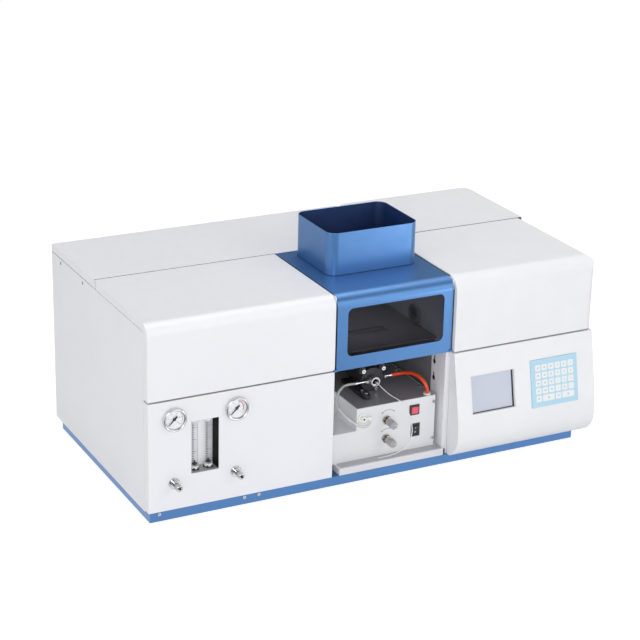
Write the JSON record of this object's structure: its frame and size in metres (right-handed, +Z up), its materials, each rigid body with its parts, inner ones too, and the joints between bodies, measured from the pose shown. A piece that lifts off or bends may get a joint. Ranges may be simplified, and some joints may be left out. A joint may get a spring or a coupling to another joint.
{
  "type": "atomic absorption spectrophotometer",
  "caption": "Bench atomic absorption spectrophotometer with a lamp and gas module, a hinged flame hood over a burner bay, and a monochromator module with display and keypad",
  "frame": {"origin": "on the bench, under the middle of the case", "axes": "+X to the right along the width, +Y to the back, +Z up"},
  "size_m": [1.02, 0.571, 0.508],
  "materials": {
    "case_paint": "satin off-white enamel",
    "blue_paint": "satin blue enamel",
    "dark_paint": "matt black enamel",
    "grey_paint": "satin dark grey enamel",
    "light_paint": "satin pale grey enamel",
    "sheet_steel": "plain steel",
    "plating": "bright nickel plating",
    "brass_fitting": "turned brass",
    "alloy": "machined alloy",
    "clear_glass": "clear glass",
    "smoked_window": "smoked clear plastic",
    "moulded_white": "fine textured moulding",
    "white_plastic": "plain moulding",
    "black_plastic": "plain moulding",
    "red_plastic": "glossy moulding",
    "grey_plastic": "glossy turned plastic",
    "display_panel": "liquid crystal panel",
    "keypad_film": "membrane film",
    "rubber_black": "matt rubber",
    "hose_orange": "smooth fuel hose",
    "tube_clear": "translucent tubing",
    "board_green": "circuit board laminate",
    "lamp_glass": "clear lamp bulb",
    "needle_black": "black needle paint"
  },
  "bodies": {
    "case": {"base_pan": "blue_paint", "base_feet": "rubber_black", "left_side_panel": "case_paint", "right_side_panel": "case_paint", "rear_panel": "case_paint", "rear_lid_left": "case_paint", "rear_lid_right": "moulded_white", "inner_frame": "case_paint", "hinge_pins": "plating", "case_screws": "plating", "lamp_deck": "sheet_steel", "lens_mounts": "alloy", "lenses": "clear_glass", "gas_panel": "case_paint", "gauge_cases": "plating", "gauge_glasses": "clear_glass", "flowmeter_housing": "light_paint", "flow_tubes": "clear_glass", "valve_bushes": "plating", "bay_liner": "grey_paint", "drip_tray": "light_paint", "gas_box": "light_paint", "gas_box_top": "grey_paint", "box_fittings": "white_plastic", "switch_bezels": "black_plastic", "fuel_hose": "hose_orange", "air_tube": "tube_clear", "sample_capillary": "tube_clear", "mono_cover": "moulded_white", "control_fascia": "moulded_white", "display": "display_panel", "keypad": "keypad_film", "monochromator": "alloy", "detector": "dark_paint", "power_supply": "sheet_steel", "circuit_board": "board_green", "mains_inlet": "black_plastic", "gas_inlets": "brass_fitting"},
    "lamp_cover": {"lamp_cover": "case_paint"},
    "hood": {"flame_hood": "blue_paint", "hood_window": "smoked_window", "chimney": "blue_paint"},
    "turret": {"lamp_turret": "alloy", "hollow_cathode_lamps": "lamp_glass"},
    "fuel_needle": {"fuel_gauge_needle": "needle_black"},
    "air_needle": {"air_gauge_needle": "needle_black"},
    "fuel_float": {"fuel_float": "black_plastic"},
    "air_float": {"air_float": "black_plastic"},
    "fuel_valve": {"fuel_valve_knob": "plating"},
    "air_valve": {"air_valve_knob": "plating"},
    "ignition": {"ignition_button": "red_plastic"},
    "rocker": {"power_rocker": "black_plastic"},
    "height_knob": {"height_knob": "grey_plastic"},
    "trim_knob": {"trim_knob": "grey_plastic"},
    "burner": {"burner_stand": "dark_paint", "mixing_chamber": "black_plastic", "nebulizer": "plating", "chamber_fittings": "plating", "burner_head": "sheet_steel"},
    "grating": {"grating": "alloy"}
  },
  "joints": [
    {"name": "lamp_cover_hinge", "type": "hinge", "parent": "case", "child": "lamp_cover", "pos_m": [0, 0.03125, 0.411], "axis": [-1, 0, 0], "range_deg": [0, 70]},
    {"name": "hood_hinge", "type": "hinge", "parent": "case", "child": "hood", "pos_m": [0, 0.03125, 0.411], "axis": [-1, 0, 0], "range_deg": [0, 65]},
    {"name": "turret_turn", "type": "hinge", "parent": "case", "child": "turret", "pos_m": [-0.3, -0.0975, 0.33], "axis": [1, 0, 0], "range_deg": [0, 270]},
    {"name": "fuel_needle_turn", "type": "hinge", "parent": "case", "child": "fuel_needle", "pos_m": [-0.456, -0.2495, 0.218], "axis": [0, 1, 0], "range_deg": [0, 270]},
    {"name": "air_needle_turn", "type": "hinge", "parent": "case", "child": "air_needle", "pos_m": [-0.323, -0.2495, 0.218], "axis": [0, 1, 0], "range_deg": [0, 270]},
    {"name": "fuel_float_rise", "type": "slide", "parent": "case", "child": "fuel_float", "axis": [0, 0, 1], "range_m": [0, 0.083]},
    {"name": "air_float_rise", "type": "slide", "parent": "case", "child": "air_float", "axis": [0, 0, 1], "range_m": [0, 0.083]},
    {"name": "fuel_valve_turn", "type": "hinge", "parent": "case", "child": "fuel_valve", "pos_m": [-0.456, -0.26, 0.08], "axis": [0, -1, 0], "range_deg": [0, 720]},
    {"name": "air_valve_turn", "type": "hinge", "parent": "case", "child": "air_valve", "pos_m": [-0.323, -0.26, 0.08], "axis": [0, -1, 0], "range_deg": [0, 720]},
    {"name": "ignition_press", "type": "slide", "parent": "case", "child": "ignition", "axis": [0, 1, 0], "range_m": [0, 0.003], "stiffness_N_per_m": 400, "springref_m": -0.002},
    {"name": "rocker_tip", "type": "hinge", "parent": "case", "child": "rocker", "pos_m": [0.1015, -0.2185, 0.082], "axis": [-1, 0, 0], "range_deg": [0, 16]},
    {"name": "height_knob_turn", "type": "hinge", "parent": "case", "child": "height_knob", "pos_m": [0.0305, -0.2205, 0.118], "axis": [0, -1, 0], "range_deg": [0, 126]},
    {"name": "trim_knob_turn", "type": "hinge", "parent": "case", "child": "trim_knob", "pos_m": [0.0305, -0.2205, 0.076], "axis": [0, -1, 0], "range_deg": [0, 720]},
    {"name": "burner_lift", "type": "slide", "parent": "case", "child": "burner", "axis": [0, 0, 1], "range_m": [0, 0.014], "deforming": ["fuel_hose", "air_tube", "sample_capillary"]},
    {"name": "grating_turn", "type": "hinge", "parent": "case", "child": "grating", "pos_m": [0.37, -0.0775, 0.24], "axis": [0, 0, 1], "range_deg": [0, 40]}
  ],
  "couplings": [
    {"joint": "height_knob_turn", "follows": "burner_lift", "rad_per_m": 156.25}
  ]
}
